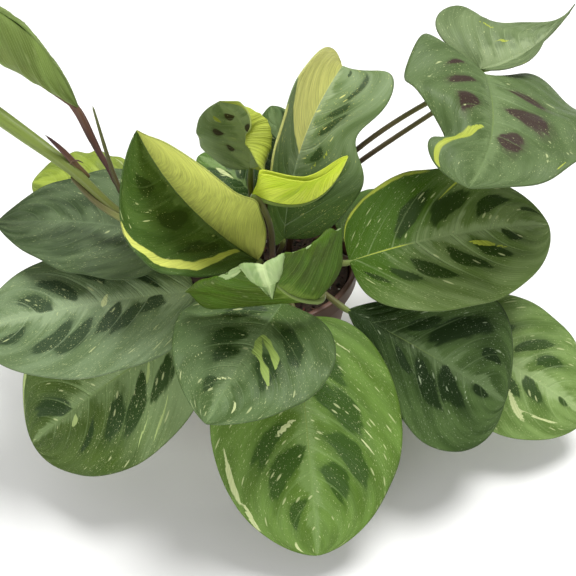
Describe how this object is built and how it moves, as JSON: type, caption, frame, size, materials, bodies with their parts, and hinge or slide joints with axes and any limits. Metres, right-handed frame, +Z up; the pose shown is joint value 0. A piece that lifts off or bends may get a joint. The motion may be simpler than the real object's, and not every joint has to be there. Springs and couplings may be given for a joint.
{
  "type": "potted prayer plant",
  "caption": "Variegated prayer plant with broad patterned leaves, some folded or still rolled, on thin stalks out of soil in a plain round tapered pot.",
  "frame": {"origin": "centre of the pot's foot, on the surface that it stands on", "axes": "+Z up out of the pot, -Y towards the plant's front, where its largest leaf hangs down, +X to the right of someone who faces the front"},
  "size_m": [0.3146, 0.2196, 0.2017],
  "materials": {
    "pot": "plain matt moulded plastic",
    "soil": "moist crumbly potting mix",
    "leaf_green": "soft satin, with darker blotches",
    "leaf_dark": "soft satin, with darker blotches",
    "leaf_silver": "soft satin with a grey sheen, with darker blotches",
    "leaf_lime": "soft satin, with darker blotches",
    "leaf_olive": "matt underside with raised veins",
    "leaf_yellow": "soft satin, pale yellow green"
  },
  "bodies": {
    "root": {"pot": "pot", "soil": "soil", "leaf_front_large": "leaf_lime", "leaf_front_round": "leaf_silver", "leaf_centre_upturned": "leaf_olive", "leaf_left_long": "leaf_silver", "leaf_left_low": "leaf_green", "leaf_left_back": "leaf_silver", "leaf_left_lime": "leaf_lime", "leaf_folded": "leaf_dark", "leaf_right_large": "leaf_green", "leaf_right_low": "leaf_dark", "leaf_right_outer": "leaf_lime", "leaf_right_high": "leaf_silver", "leaf_right_top": "leaf_silver", "leaf_upright_cream": "leaf_dark", "leaf_small_top": "leaf_silver", "leaf_yellow_young": "leaf_yellow", "leaf_back_white": "leaf_green", "leaf_back_small": "leaf_silver", "leaf_back_left_low": "leaf_green", "leaf_back_right_low": "leaf_green", "leaf_right_under": "leaf_green", "rolled_leaf_upper": "leaf_lime", "rolled_leaf_lower": "leaf_lime", "spear_leaf": "leaf_lime"}
  },
  "joints": []
}
